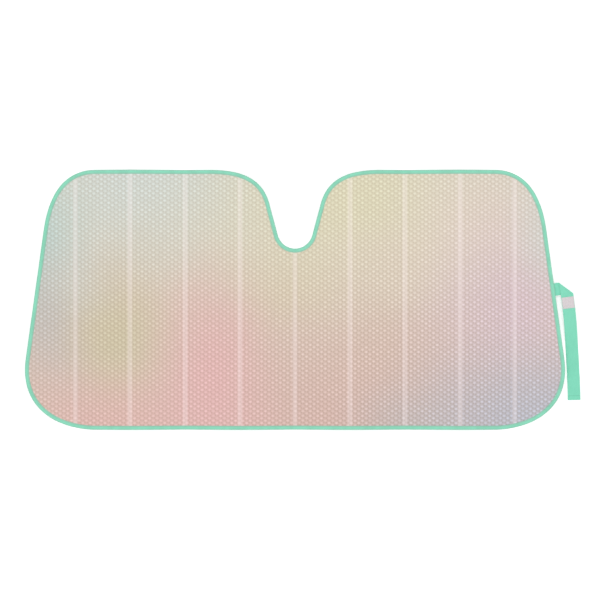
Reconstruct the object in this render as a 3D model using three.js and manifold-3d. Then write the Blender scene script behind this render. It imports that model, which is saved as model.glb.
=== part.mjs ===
// Folding windscreen sunshade: a creased sheet of bubble laminate with a bound edge and an elastic strap.
// Millimetres. The shade lies spread out and face up: +X is its right, +Y its top and +Z its front.
// The origin is the middle of the centre crease's back face, which lies on the ground.

import * as THREE from 'three';
import { mergeVertices } from 'three/addons/utils/BufferGeometryUtils.js';
import Module from 'manifold-3d';

const wasm = await Module();
wasm.setup();

// Outline of the bound sheet, seen from the front
const sheet = {
  midWidth: 1405.2, // across the leaning sides at half height
  height: 700,
  sideLean: 7.85, // degrees, the sides lean in towards the top
};

// A corner curve starts and ends at these distances from the sharp corner that it rounds.
// A pull is how far its handle reaches from there towards the sharp corner, from 0 to 1.
const topCorner = { before: 114, pullBefore: 0.48, after: 165, pullAfter: 0.81 };
const bottomCorner = { before: 194, pullBefore: 0.74, after: 211, pullAfter: 0.42 };
const shoulder = { before: 94, pullBefore: 0.88, after: 145, pullAfter: 0.51 };

// Notch for the inner mirror, in the middle of the top edge
const notch = {
  depth: 211.8,
  floorRadius: 48,
  sideLean: 15, // degrees, the notch widens upwards
};

// Upright accordion creases
const pleat = {
  pitch: 148,
  rise: 14, // height of the raised creases over the ones on the ground
  landWidth: 12, // pressed flat strip along each crease
  stepWidth: 3, // from a land up to the full bubble height
};

const laminate = {
  thickness: 4, // over the bubbles
  pressed: 1, // where the film layers are welded together
  rimLift: 1.2, // the welded rim lies this far above the back face
  rimMargin: 1, // from the binding's inner edge to the full thickness
};

const binding = {
  width: 11,
  tape: 0.6,
  clearance: 0.3, // between the tape and the rim that it wraps
};

const strap = {
  width: 34,
  thickness: 1.2,
  exitHeight: 27.5, // y where its centre line leaves the sheet's edge
  rootRise: 9, // degrees, from the edge up to the fold
  rootFree: 31, // centre line from the edge to the fold
  rootSewn: 16, // sewn length behind the sheet
  foldGap: 0.8, // between the two layers at the fold
  legLean: 9, // degrees from straight down where the long leg starts
  legDrop: 301.5, // height of the long leg, from the fold to the tip
  legDrift: 23, // how far the tip lies to the right of the fold
  earlyDrift: 0.8, // share of the drift that the leg makes in its first stretch
  levelLength: 74, // of the long leg, from the fold down to where it sinks
  sinkLength: 90, // height over which it comes down to the ground
  hem: 13, // webbing turned under at the tip
  clearance: 0.3, // to the sheet's back and to the patches
};

const loopPatch = { length: 31, width: 33, thickness: 1.3, fromFold: 40.5 };
const hookPatch = { length: 34, width: 32, thickness: 1.5, fromTip: 39 };

const weldDistance = 0.0001;
const curveSteps = 10;
const capSteps = 8;

const colours = {
  foil: 0xd2c9c4,
  tape: 0x93d3ba,
  webbing: 0x83d8bb,
  loopPile: 0xdcd1d4,
  hookTape: 0xe4e1e0,
};

const bottomY = -sheet.height / 2;
const topY = sheet.height / 2;
const rimTop = laminate.rimLift + laminate.pressed;
const bodyInset = binding.width + laminate.rimMargin;
const rimInset = binding.tape + binding.clearance;

function radians(degrees) {
  return THREE.MathUtils.degToRad(degrees);
}

// Unit vector at an angle from +X
function heading(degrees) {
  return new THREE.Vector2(Math.cos(radians(degrees)), Math.sin(radians(degrees)));
}

function along(start, direction, distance) {
  return start.clone().addScaledVector(direction, distance);
}

// The leaning side's x at a height
function sideX(y) {
  return sheet.midWidth / 2 - y * Math.tan(radians(sheet.sideLean));
}

// Rounds a sharp corner that is reached in direction inward and left in direction outward
function roundCorner(path, corner, inward, outward, size) {
  const start = along(corner, inward, -size.before);
  const startHandle = along(corner, inward, -size.before * (1 - size.pullBefore));
  const endHandle = along(corner, outward, size.after * (1 - size.pullAfter));
  const end = along(corner, outward, size.after);
  path.lineTo(start.x, start.y);
  path.bezierCurveTo(startHandle.x, startHandle.y, endHandle.x, endHandle.y, end.x, end.y);
}

// The right half of the outline, from the notch floor clockwise to the middle of the bottom edge
function halfOutline() {
  const up = heading(90 - notch.sideLean);
  const right = heading(0);
  const down = heading(sheet.sideLean - 90);
  const left = heading(180);
  const floorCentreY = topY - notch.depth + notch.floorRadius;
  const wallAngle = radians(-notch.sideLean);
  const wallStart = new THREE.Vector2(
    notch.floorRadius * Math.cos(wallAngle),
    floorCentreY + notch.floorRadius * Math.sin(wallAngle),
  );
  const wallRun = (topY - wallStart.y) * Math.tan(radians(notch.sideLean));
  const path = new THREE.Path();
  path.absarc(0, floorCentreY, notch.floorRadius, -Math.PI / 2, wallAngle, false);
  roundCorner(path, new THREE.Vector2(wallStart.x + wallRun, topY), up, right, shoulder);
  roundCorner(path, new THREE.Vector2(sideX(topY), topY), right, down, topCorner);
  roundCorner(path, new THREE.Vector2(sideX(bottomY), bottomY), down, left, bottomCorner);
  path.lineTo(0, bottomY);
  return path.getPoints(curveSteps);
}

// The whole outline as a clockwise ring of points
function outline() {
  const right = halfOutline();
  const left = right.slice(1, -1).reverse().map((point) => new THREE.Vector2(-point.x, point.y));
  return [...right, ...left];
}

// Moves a clockwise ring of points inwards by a distance
function inset(ring, distance) {
  return ring.map((point, i) => {
    const before = ring[(i + ring.length - 1) % ring.length];
    const after = ring[(i + 1) % ring.length];
    const arrive = point.clone().sub(before).normalize();
    const leave = after.clone().sub(point).normalize();
    const mitre = new THREE.Vector2(arrive.y + leave.y, -arrive.x - leave.x).normalize();
    const squareness = mitre.x * arrive.y - mitre.y * arrive.x;
    return along(point, mitre, distance / squareness);
  });
}

// A closed body from a flat ring of points, standing from z = low to z = high
function plate(ring, low, high) {
  const geometry = new THREE.ExtrudeGeometry(new THREE.Shape(ring), {
    depth: high - low,
    bevelEnabled: false,
  });
  return geometry.translate(0, 0, low);
}

// A closed body from a side profile of x and z, running from y = low to y = high
function bar(profile, low, high) {
  const ring = profile.map(([x, z]) => new THREE.Vector2(x, z));
  return plate(ring, 0, high - low).rotateX(Math.PI / 2).translate(0, high, 0);
}

// A closed body from a side profile of y and z, running from x = low to x = high
function beam(profile, low, high) {
  return bar(profile, -high, -low).rotateZ(Math.PI / 2);
}

function toManifold(geometry) {
  const bare = geometry.clone();
  bare.deleteAttribute('normal');
  bare.deleteAttribute('uv');
  const welded = mergeVertices(bare, weldDistance);
  const vertProperties = new Float32Array(welded.attributes.position.array);
  const triVerts = new Uint32Array(welded.index.array);
  return new wasm.Manifold(new wasm.Mesh({ numProp: 3, vertProperties, triVerts }));
}

function toGeometry(manifold) {
  const { vertProperties, triVerts } = manifold.getMesh();
  const indexed = new THREE.BufferGeometry();
  indexed.setAttribute('position', new THREE.BufferAttribute(vertProperties, 3));
  indexed.setIndex(new THREE.BufferAttribute(triVerts, 1));
  const geometry = indexed.toNonIndexed();
  geometry.computeVertexNormals();
  return geometry;
}

function solid(name, geometry, color, roughness, metalness) {
  const material = new THREE.MeshStandardMaterial({ color, roughness, metalness });
  const mesh = new THREE.Mesh(geometry, material);
  mesh.name = name;
  return mesh;
}

const ring = outline();
const reach = Math.max(...ring.map((point) => point.x));
const creasesPerSide = Math.floor(reach / pleat.pitch);

// Height of the back face: every second crease lies on the ground, with the centre one
function backHeight(x) {
  const fromValley = Math.abs(x - 2 * pleat.pitch * Math.round(x / (2 * pleat.pitch)));
  const slope = (fromValley - pleat.landWidth / 2) / (pleat.pitch - pleat.landWidth);
  return pleat.rise * THREE.MathUtils.clamp(slope, 0, 1);
}

// The x of every crease, and of one past the sheet's edge at each end
function creaseLines() {
  const lines = [];
  for (let k = -creasesPerSide - 1; k <= creasesPerSide + 1; k += 1) {
    lines.push(k * pleat.pitch);
  }
  return lines;
}

// Profile of a layer that follows the pleats between two heights over the back face
function pleatedProfile(low, high) {
  const edges = creaseLines().flatMap((x) => [x - pleat.landWidth / 2, x + pleat.landWidth / 2]);
  const below = edges.map((x) => [x, backHeight(x) + low]);
  const above = edges.map((x) => [x, backHeight(x) + high]);
  return [...below, ...above.reverse()];
}

// Profile of the full laminate, thin on the lands and thick between them
function bubbledProfile() {
  const land = pleat.landWidth / 2;
  const step = land + pleat.stepWidth;
  const below = creaseLines().flatMap((x) => [x - land, x + land]).map((x) => [x, backHeight(x)]);
  const above = creaseLines().flatMap((x) => [
    [x - step, backHeight(x - step) + laminate.thickness],
    [x - land, backHeight(x - land) + rimTop],
    [x + land, backHeight(x + land) + rimTop],
    [x + step, backHeight(x + step) + laminate.thickness],
  ]);
  return [...below, ...above.slice(1, -1).reverse()];
}

// A body that follows a side profile within an outline
function cutSheet(profile, outlineRing) {
  const layer = toManifold(bar(profile, bottomY - sheet.height, topY + sheet.height));
  return layer.intersect(toManifold(plate(outlineRing, -sheet.height, sheet.height)));
}

function bubblePanel() {
  const body = cutSheet(bubbledProfile(), inset(ring, bodyInset));
  const rim = cutSheet(pleatedProfile(laminate.rimLift, rimTop), inset(ring, rimInset));
  return toGeometry(body.add(rim));
}

function edgeBinding() {
  const cavityLow = laminate.rimLift - binding.clearance;
  const cavityHigh = rimTop + binding.clearance;
  const outside = pleatedProfile(cavityLow - binding.tape, cavityHigh + binding.tape);
  const inside = pleatedProfile(cavityLow, cavityHigh);
  const tube = cutSheet(outside, ring).subtract(cutSheet(inside, inset(ring, binding.tape)));
  const window = plate(inset(ring, binding.width), -sheet.height, sheet.height);
  return toGeometry(tube.subtract(toManifold(window)));
}

// The strap's centre line and its fold, in plan
const exit = new THREE.Vector2(sideX(strap.exitHeight), strap.exitHeight);
const rootHeading = heading(strap.rootRise);
const foldCentre = along(exit, rootHeading, strap.rootFree);
const foldAngle = (strap.rootRise + strap.legLean - 90) / 2;
const foldHeading = heading(foldAngle);
const foldOutward = heading(foldAngle + 90);
const tip = new THREE.Vector2(foldCentre.x + strap.legDrift, foldCentre.y - strap.legDrop);
const bendDrift = strap.legDrift * strap.earlyDrift;
const bendDrop = bendDrift / Math.tan(radians(strap.legLean));
const legBend = new THREE.Vector2(foldCentre.x + bendDrift, foldCentre.y - bendDrop);
const legLine = new THREE.QuadraticBezierCurve(foldCentre, legBend, tip);

// Heights of the strap's layers
const rootTop = backHeight(exit.x) - strap.clearance;
const rootBottom = rootTop - strap.thickness;
const legLevel = rootTop + strap.foldGap;
const tipLevel = hookPatch.thickness + strap.clearance;

// A strip of a given width along a curve, in plan
function strip(curve, width) {
  const steps = curve.getPoints(curveSteps);
  const left = [];
  const right = [];
  steps.forEach((point, i) => {
    const direction = curve.getTangent(i / curveSteps);
    const side = new THREE.Vector2(-direction.y, direction.x);
    left.push(along(point, side, width / 2));
    right.push(along(point, side, -width / 2));
  });
  return [...right, ...left.reverse()];
}

// The half of the plan on the sheet's side of the fold line
function foldedSide() {
  const far = strap.legDrop * 2;
  const start = along(foldCentre, foldHeading, -far);
  const end = along(foldCentre, foldHeading, far);
  return plate([start, along(start, foldOutward, -far), along(end, foldOutward, -far), end], -far, far);
}

// The root runs from behind the sheet's edge out to the fold
function strapRoot(side) {
  const start = along(exit, rootHeading, -strap.rootSewn);
  const end = along(foldCentre, rootHeading, strap.width);
  const line = new THREE.LineCurve(start, end);
  const bend = exit.x;
  const innerDrop = backHeight(exit.x) - backHeight(start.x - strap.width);
  const profile = [
    [start.x - strap.width, rootBottom - innerDrop],
    [bend, rootBottom],
    [end.x + strap.width, rootBottom],
    [end.x + strap.width, rootTop],
    [bend, rootTop],
    [start.x - strap.width, rootTop - innerDrop],
  ];
  const plan = toManifold(plate(strip(line, strap.width), -strap.legDrop, strap.legDrop));
  const layer = toManifold(bar(profile, foldCentre.y - strap.legDrop, foldCentre.y + strap.legDrop));
  return plan.intersect(layer).intersect(side);
}

// The long leg's underside: level over the root, then down to the ground and up over the hook patch
function legUnderside() {
  const sinkStart = foldCentre.y - strap.levelLength;
  const sinkEnd = sinkStart - strap.sinkLength;
  const liftEnd = tip.y + hookPatch.fromTip + hookPatch.length / 2;
  const points = [[foldCentre.y + strap.width, legLevel]];
  for (let i = 0; i <= curveSteps; i += 1) {
    const t = i / curveSteps;
    const fall = (1 - Math.cos(Math.PI * t)) / 2;
    points.push([THREE.MathUtils.lerp(sinkStart, sinkEnd, t), legLevel * (1 - fall)]);
  }
  points.push([liftEnd + strap.hem, 0], [liftEnd, tipLevel]);
  points.push([tip.y + strap.hem, tipLevel]);
  points.push([tip.y + strap.hem, tipLevel - strap.thickness]);
  points.push([tip.y, tipLevel - strap.thickness]);
  return points;
}

// The leg's top face lies one thickness over its underside, apart from the doubled hem
function strapLeg(side) {
  const under = legUnderside();
  const over = under.slice(0, -3).map(([y, z]) => [y, z + strap.thickness]);
  over.push([tip.y, tipLevel + strap.thickness]);
  const ribbon = strip(legLine, strap.width);
  const lead = heading(90 + strap.legLean).multiplyScalar(strap.width);
  ribbon.unshift(ribbon[0].clone().add(lead));
  ribbon.push(ribbon[ribbon.length - 1].clone().add(lead));
  const plan = toManifold(plate(ribbon, -strap.legDrop, strap.legDrop));
  const profile = [...under, ...over.reverse()];
  const layer = toManifold(beam(profile, exit.x - strap.legDrop, exit.x + strap.legDrop));
  return plan.intersect(layer).intersect(side);
}

// The rounded edge of the fold joins the two layers along the diagonal
function strapFold() {
  const inner = strap.foldGap / 2;
  const outer = inner + strap.thickness;
  const overlap = inner;
  const profile = [[-overlap, -outer]];
  for (let i = 0; i <= capSteps; i += 1) {
    const angle = Math.PI * (i / capSteps - 0.5);
    profile.push([outer * Math.cos(angle), outer * Math.sin(angle)]);
  }
  profile.push([-overlap, outer], [-overlap, inner]);
  for (let i = capSteps; i >= 0; i -= 1) {
    const angle = Math.PI * (i / capSteps - 0.5);
    profile.push([inner * Math.cos(angle), inner * Math.sin(angle)]);
  }
  profile.push([-overlap, -inner]);
  const halfLength = strap.width / 2 / Math.sin(radians(strap.rootRise - foldAngle));
  const cap = bar(profile, -halfLength, halfLength);
  cap.rotateZ(radians(foldAngle + 90));
  return toManifold(cap.translate(foldCentre.x, foldCentre.y, rootTop + inner));
}

function closureStrap() {
  const side = toManifold(foldedSide());
  return toGeometry(strapRoot(side).add(strapLeg(side)).add(strapFold()));
}

// A rectangular patch on the leg, at a distance along it from the fold
function patch(size, distance, low) {
  const t = distance / legLine.getLength();
  const centre = legLine.getPointAt(t);
  const direction = legLine.getTangentAt(t);
  const start = along(centre, direction, -size.length / 2);
  const end = along(centre, direction, size.length / 2);
  return plate(strip(new THREE.LineCurve(start, end), size.width), low, low + size.thickness);
}

const shade = new THREE.Group();
shade.add(solid('bubble_panel', bubblePanel(), colours.foil, 0.35, 0.5));
shade.add(solid('edge_binding', edgeBinding(), colours.tape, 0.85, 0));
shade.add(solid('closure_strap', closureStrap(), colours.webbing, 0.8, 0));

const loopLow = legLevel + strap.thickness + strap.clearance;
shade.add(solid('loop_patch', patch(loopPatch, loopPatch.fromFold, loopLow), colours.loopPile, 0.95, 0));

const hookDistance = legLine.getLength() - hookPatch.fromTip;
shade.add(solid('hook_patch', patch(hookPatch, hookDistance, 0), colours.hookTape, 0.7, 0));

export default shade;
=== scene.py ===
# Folding windscreen sunshade, spread out face up: pearly bubble foil, bound edge and elastic strap.
# Metres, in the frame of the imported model: +X right, +Y towards the mirror notch, +Z out of the front.
import math
from types import SimpleNamespace

import bpy
import numpy as np
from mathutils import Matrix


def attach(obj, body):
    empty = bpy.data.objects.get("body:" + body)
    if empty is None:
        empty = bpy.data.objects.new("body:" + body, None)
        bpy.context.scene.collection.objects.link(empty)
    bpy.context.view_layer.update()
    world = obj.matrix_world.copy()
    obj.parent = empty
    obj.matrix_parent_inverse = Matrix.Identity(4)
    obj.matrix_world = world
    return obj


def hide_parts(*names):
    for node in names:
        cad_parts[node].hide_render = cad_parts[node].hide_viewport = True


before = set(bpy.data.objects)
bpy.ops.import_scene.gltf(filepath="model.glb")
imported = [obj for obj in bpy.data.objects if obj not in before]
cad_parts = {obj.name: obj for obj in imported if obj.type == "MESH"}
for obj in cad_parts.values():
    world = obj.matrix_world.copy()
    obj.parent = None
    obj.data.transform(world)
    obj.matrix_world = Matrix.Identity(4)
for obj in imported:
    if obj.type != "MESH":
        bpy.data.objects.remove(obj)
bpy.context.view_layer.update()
millimetre = 0.001
rootBody = "root"
print("frame loaded:", sorted(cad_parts))


# Small helpers for node trees

class Field:
    # a value inside a node tree; each sum with it adds a maths node to that tree
    def __init__(self, socket):
        self.socket = socket
        self.tree = socket.id_data

    def __add__(self, other):
        return calc("ADD", self, other)

    def __sub__(self, other):
        return calc("SUBTRACT", self, other)

    def __rsub__(self, other):
        return calc("SUBTRACT", other, self)

    def __mul__(self, other):
        return calc("MULTIPLY", self, other)

    def __truediv__(self, other):
        return calc("DIVIDE", self, other)


def title(name):
    # columnPitch becomes Column Pitch
    return "".join(" " + letter if letter.isupper() else letter for letter in name).title()


def titled(values):
    return {title(name): value for name, value in values.items()}


def treeOf(values):
    return next(value.tree for value in values if isinstance(value, Field))


def feed(socket, value):
    if isinstance(value, Field):
        value.tree.links.new(value.socket, socket)
    else:
        socket.default_value = value


def addNode(tree, kind, feeds=None, **settings):
    node = tree.nodes.new(kind)
    for name, value in settings.items():
        setattr(node, name, value)
    for name, value in (feeds or {}).items():
        feed(node.inputs[name], value)
    return node


def nodeValue(tree, kind, feeds=None, output=0, **settings):
    return Field(addNode(tree, kind, feeds, **settings).outputs[output])


def calc(operation, *values):
    return nodeValue(treeOf(values), "ShaderNodeMath", dict(enumerate(values)), operation=operation)


def apart(first, second):
    return calc("ABSOLUTE", first - second)


def vectorCalc(operation, *values):
    output = "Value" if operation == "LENGTH" else "Vector"
    return nodeValue(treeOf(values), "ShaderNodeVectorMath", dict(enumerate(values)), output,
                     operation=operation)


def smoothRange(value, fromLow, fromHigh, toLow=0.0, toHigh=1.0, style="SMOOTHSTEP"):
    feeds = {"Value": value, "From Min": fromLow, "From Max": fromHigh, "To Min": toLow, "To Max": toHigh}
    return nodeValue(value.tree, "ShaderNodeMapRange", feeds, "Result", interpolation_type=style)


def mixValue(share, first, second):
    return smoothRange(share, 0.0, 1.0, first, second, "LINEAR")


def splitVector(vector):
    return [Field(socket) for socket in addNode(vector.tree, "ShaderNodeSeparateXYZ", {0: vector}).outputs]


def joinVector(*values):
    return nodeValue(treeOf(values), "ShaderNodeCombineXYZ", dict(enumerate(values)))


def noiseValue(vector, scale, detail=2.0, output=0):
    feeds = {"Vector": vector, "Scale": scale, "Detail": detail}
    return nodeValue(vector.tree, "ShaderNodeTexNoise", feeds, output, noise_dimensions="3D")


def newTree(name, kind, outputs, **inputs):
    # an input is stated by its default value, or by the name of its type
    tree = bpy.data.node_groups.new(name, kind + "NodeTree")
    for label, value in inputs.items():
        typeOnly = isinstance(value, str)
        valueType = value if typeOnly else {float: "Float", int: "Int", tuple: "Vector"}[type(value)]
        socket = tree.interface.new_socket(title(label), in_out="INPUT", socket_type="NodeSocket" + valueType)
        if not typeOnly:
            socket.default_value = value
    for label in outputs:
        valueType = "Geometry" if label == "geometry" else "Float"
        tree.interface.new_socket(title(label), in_out="OUTPUT", socket_type="NodeSocket" + valueType)
    entry, end = tree.nodes.new("NodeGroupInput"), tree.nodes.new("NodeGroupOutput")

    def give(**values):
        for label, value in titled(values).items():
            feed(end.inputs[label], value)

    return tree, SimpleNamespace(**{label: Field(entry.outputs[title(label)]) for label in inputs}), give


def newShapeTree(name, **inputs):
    return newTree(name, "Geometry", ("geometry",), geometry="Geometry", material="Material", **inputs)


def useGroup(group, **values):
    tree = treeOf(values.values())
    node = addNode(tree, tree.bl_idname.replace("Tree", "Group"), titled(values), node_tree=group)
    return {socket.name: Field(socket) for socket in node.outputs}


def endTree(geometry, given, give):
    real = nodeValue(geometry.tree, "GeometryNodeRealizeInstances", {0: geometry})
    feeds = {"Geometry": real, "Material": given.material}
    give(geometry=nodeValue(geometry.tree, "GeometryNodeSetMaterial", feeds))


def runNodes(piece, tree, **values):
    # gives the tree's inputs those of the values that carry their names, and keeps the plain result
    modifier = piece.modifiers.new(tree.name, "NODES")
    modifier.node_group = tree
    given = titled(values)
    for item in tree.interface.items_tree:
        if item.in_out == "INPUT" and item.name in given:
            modifier[item.identifier] = given[item.name]
    depsgraph = bpy.context.evaluated_depsgraph_get()
    plain = bpy.data.meshes.new_from_object(piece.evaluated_get(depsgraph), depsgraph=depsgraph)
    piece.modifiers.clear()
    piece.data = plain
    plain.name = piece.name


def addObject(name, data):
    added = bpy.data.objects.new(name, data)
    bpy.context.scene.collection.objects.link(added)
    return added


def newPiece(name, points, faces=(), edges=(), smooth=True, material=None):
    mesh = bpy.data.meshes.new(name)
    mesh.from_pydata([tuple(point) for point in points], edges, faces)
    if smooth and len(faces):
        mesh.shade_smooth()
    if material:
        mesh.materials.append(material)
    return addObject(name, mesh)


# The bound sheet's outline, from the sizes of the model

sheetShape = {
    "midWidth": 1.4052, "height": 0.7, "sideLean": 7.85,
    "topCorner": (0.114, 0.48, 0.165, 0.81),  # before, pull, after, pull
    "bottomCorner": (0.194, 0.74, 0.211, 0.42),
    "shoulder": (0.094, 0.88, 0.145, 0.51),
    "notchDepth": 0.2118, "notchRadius": 0.048, "notchLean": 15,
}
pleatShape = {"pitch": 0.148, "creases": 9, "rise": 0.014, "landWidth": 0.012, "landStep": 0.003}


def heading(degrees):
    return np.array([math.cos(math.radians(degrees)), math.sin(math.radians(degrees))])


def unit(vectors):
    return vectors / np.linalg.norm(vectors, axis=-1, keepdims=True)


def toTheRight(forward):
    return np.c_[forward[:, 1], -forward[:, 0]]


def travelledLengths(points):
    return np.r_[0, np.cumsum(np.linalg.norm(np.diff(points, axis=0), axis=1))]


def pointsAt(stops, travelled, points):
    return np.c_[np.interp(stops, travelled, points[:, 0]), np.interp(stops, travelled, points[:, 1])]


def roundedCorner(corner, inward, outward, size, steps=60):
    before, pullBefore, after, pullAfter = size
    t = np.linspace(0, 1, steps)[:, None]
    p0 = corner - inward * before
    p1 = corner - inward * before * (1 - pullBefore)
    p2 = corner + outward * after * (1 - pullAfter)
    p3 = corner + outward * after
    return p0 * (1 - t) ** 3 + 3 * p1 * t * (1 - t) ** 2 + 3 * p2 * t * t * (1 - t) + p3 * t ** 3


def halfOutline():
    top = sheetShape["height"] / 2
    radius = sheetShape["notchRadius"]
    wallAngle = math.radians(-sheetShape["notchLean"])
    floorY = top - sheetShape["notchDepth"] + radius
    turn = np.linspace(-math.pi / 2, wallAngle, 30)
    floor = np.c_[radius * np.cos(turn), floorY + radius * np.sin(turn)]
    wallRun = (top - floor[-1][1]) * math.tan(-wallAngle)
    lean = math.tan(math.radians(sheetShape["sideLean"]))
    middle = sheetShape["midWidth"] / 2
    up, right = heading(90 - sheetShape["notchLean"]), heading(0)
    down, left = heading(sheetShape["sideLean"] - 90), heading(180)
    wallTop = np.array([floor[-1][0] + wallRun, top])
    topCorner = np.array([middle - top * lean, top])
    bottomCorner = np.array([middle + top * lean, -top])
    return np.concatenate([
        floor,
        roundedCorner(wallTop, up, right, sheetShape["shoulder"]),
        roundedCorner(topCorner, right, down, sheetShape["topCorner"]),
        roundedCorner(bottomCorner, down, left, sheetShape["bottomCorner"]),
        [[0, -top]],
    ])


def outlineRing(spacing=0.002):
    # a closed clockwise ring with points at equal distances along it
    right = halfOutline()
    left = right[1:-1][::-1] * [-1, 1]
    loop = np.concatenate([right, left, right[:1]])
    travelled = travelledLengths(loop)
    stops = np.linspace(0, travelled[-1], int(round(travelled[-1] / spacing)) + 1)[:-1]
    return pointsAt(stops, travelled, loop)


def insetRing(ring, distance):
    # clockwise ring, so its inside is on the right of the way along it
    forward = unit(np.roll(ring, -1, axis=0) - np.roll(ring, 1, axis=0))
    return ring + toTheRight(forward) * distance


def ringLength(ring):
    return np.linalg.norm(ring - np.roll(ring, 1, axis=0), axis=1).sum()


def pleatHeight(x):
    pitch, land = pleatShape["pitch"], pleatShape["landWidth"]
    fromValley = np.abs(x - 2 * pitch * np.round(np.asarray(x) / (2 * pitch)))
    return pleatShape["rise"] * np.clip((fromValley - land / 2) / (pitch - land), 0, 1)


def makePleatGroup():
    # the same heights for geometry nodes, and the distance from the nearest crease
    tree, given, give = newTree(
        "pleatHeight", "Geometry", ("height", "fromCrease"), x=0.0, pitch=pleatShape["pitch"],
        land=pleatShape["landWidth"], rise=pleatShape["rise"])
    period = given.pitch * 2.0
    fromValley = apart(given.x, calc("ROUND", given.x / period) * period)
    halfLand = given.land / 2.0
    give(height=smoothRange(fromValley, halfLand, given.pitch - halfLand, 0.0, given.rise, "LINEAR"),
         fromCrease=calc("MINIMUM", fromValley, apart(given.pitch, fromValley)))
    return tree


pleatGroup = makePleatGroup()
outline = outlineRing()


def pathPiece(name, paths):
    # loose edges along each path, which is its points and whether it is closed
    points, edges = [], []
    for path, closed in paths:
        first, count = len(points), len(path)
        points += [tuple(point) for point in path]
        edges += [(first + i, first + (i + 1) % count) for i in range(count if closed else count - 1)]
    return newPiece(name, points, edges=edges)


def flatPath(ring, height=0.0):
    return np.c_[ring, np.full(len(ring), height)], True


# The bubble laminate: a front and a back film, each a closed body with its relief made by nodes

bubbleLattice = {
    "columnPitch": 0.010051, "bubblePitch": 0.012747, "start": (0.00075, -0.0004, 0.0),
    "flatRadius": 0.0019, "footRadius": 0.0054, "slack": 0.3, "seed": 4.0,
}
filmShape = {
    "middleHeight": 0.0017, "rimWidth": 0.0118, "rimStep": 0.003, "crumple": 0.0005, "crumpleSize": 14.0,
}
filmGrid = {"edgeInset": 0.0012, "facesAcross": 3, "facesAlong": 4}
frontShape = {
    "rimHeight": 0.0022, "landHeight": 0.0022, "valleyHeight": 0.0024, "bubbleHeight": 0.0016,
    "groove": 0.0003, "pressedShare": 0.2,
}
backShape = {
    "rimHeight": 0.0012, "landHeight": 0.0, "valleyHeight": 0.0009, "bubbleHeight": -0.0009,
    "groove": 0.0, "pressedShare": 0.0,
}


def sideHeights(ring, xs):
    # the y of the clockwise ring's lower and upper side at each x
    right, left = int(np.argmax(ring[:, 0])), int(np.argmin(ring[:, 0]))
    turned = np.roll(ring, -right, axis=0)
    split = (left - right) % len(ring)
    lower = turned[split::-1]
    upper = np.concatenate([turned[split:], turned[:1]])
    return np.interp(xs, lower[:, 0], lower[:, 1]), np.interp(xs, upper[:, 0], upper[:, 1])


def gridSteps(reach, size, start):
    count = int(reach / size)
    return np.arange(-count, count + 1) * size + start


def gridLines(reach):
    # lines of faces across the bubbles, and along both edges of every crease's land and steps
    size = bubbleLattice["columnPitch"] / filmGrid["facesAcross"]
    lines = gridSteps(reach, size, bubbleLattice["start"][0])
    half = pleatShape["landWidth"] / 2
    step = half + pleatShape["landStep"]
    creases = (np.arange(pleatShape["creases"]) - pleatShape["creases"] // 2) * pleatShape["pitch"]
    edges = np.concatenate([creases + offset for offset in (-step, -half, 0, half, step)])
    clear = np.abs(lines[:, None] - edges[None, :]).min(axis=1) > 0.4 * size
    return np.sort(np.r_[-reach, lines[clear], edges, reach])


def gridQuads(index):
    return np.stack([index[:-1, :-1], index[1:, :-1], index[1:, 1:], index[:-1, 1:]], 2).reshape(-1, 4)


def stripQuads(first, second):
    return np.stack([first[:-1], first[1:], second[1:], second[:-1]], 1)


def filmMesh(name, facesUp):
    # a face of bubbles at layer 1 and a flat core at layer 0, joined along their edges
    ring = insetRing(outline, filmGrid["edgeInset"])
    xs = gridLines(ring[:, 0].max() - millimetre)
    low, high = sideHeights(ring, xs)
    size = bubbleLattice["bubblePitch"] / filmGrid["facesAlong"]
    rows = gridSteps(sheetShape["height"] / 2 + 10 * millimetre, size, bubbleLattice["start"][1])
    nx, ny = len(xs), len(rows)
    ys = np.clip(rows[None, :], low[:, None], high[:, None])
    face = np.stack([np.repeat(xs[:, None], ny, 1), ys, np.ones((nx, ny))], axis=2).reshape(-1, 3)
    core = np.stack([np.r_[xs, xs], np.r_[low, high], np.zeros(2 * nx)], axis=1)
    index = np.arange(nx * ny).reshape(nx, ny)
    lowCore, highCore = nx * ny + np.arange(nx), nx * ny + nx + np.arange(nx)
    faces = np.concatenate([
        gridQuads(index),
        np.stack([lowCore[:-1], highCore[:-1], highCore[1:], lowCore[1:]], 1),
        stripQuads(lowCore, index[:, 0]),
        stripQuads(highCore[::-1], index[::-1, -1]),
    ]).tolist()
    faces.append([highCore[0], lowCore[0], *index[0]])
    faces.append([lowCore[-1], highCore[-1], *index[-1, ::-1]])
    if not facesUp:
        faces = [corners[::-1] for corners in faces]
    return weldedPiece(name, np.concatenate([face, core]), faces)


def weldedPiece(name, points, faces):
    # collapses repeated points, and drops the faces that shrink to nothing
    keys = np.round(points * 1e6).astype(np.int64)
    _, first, same = np.unique(keys, axis=0, return_index=True, return_inverse=True)
    same = same.reshape(-1)
    kept = []
    for face in faces:
        corners = [int(same[i]) for i in face]
        corners = [c for i, c in enumerate(corners) if c != corners[i - 1]]
        if len(set(corners)) >= 3:
            kept.append(corners)
    return newPiece(name, points[first], kept)


def bubbleCell(position, start, columnPitch, bubblePitch):
    # distances from the nearest bubble's middle, then its column and its row
    x, y = splitVector(vectorCalc("SUBTRACT", position, start))[:2]
    column = calc("ROUND", x / columnPitch)
    shift = calc("FLOORED_MODULO", column + 1.0, 2.0) * 0.5  # each column is half a bubble off the next
    along = y / bubblePitch - shift
    row = calc("ROUND", along)
    return x - column * columnPitch, (along - row) * bubblePitch, column, row


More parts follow.
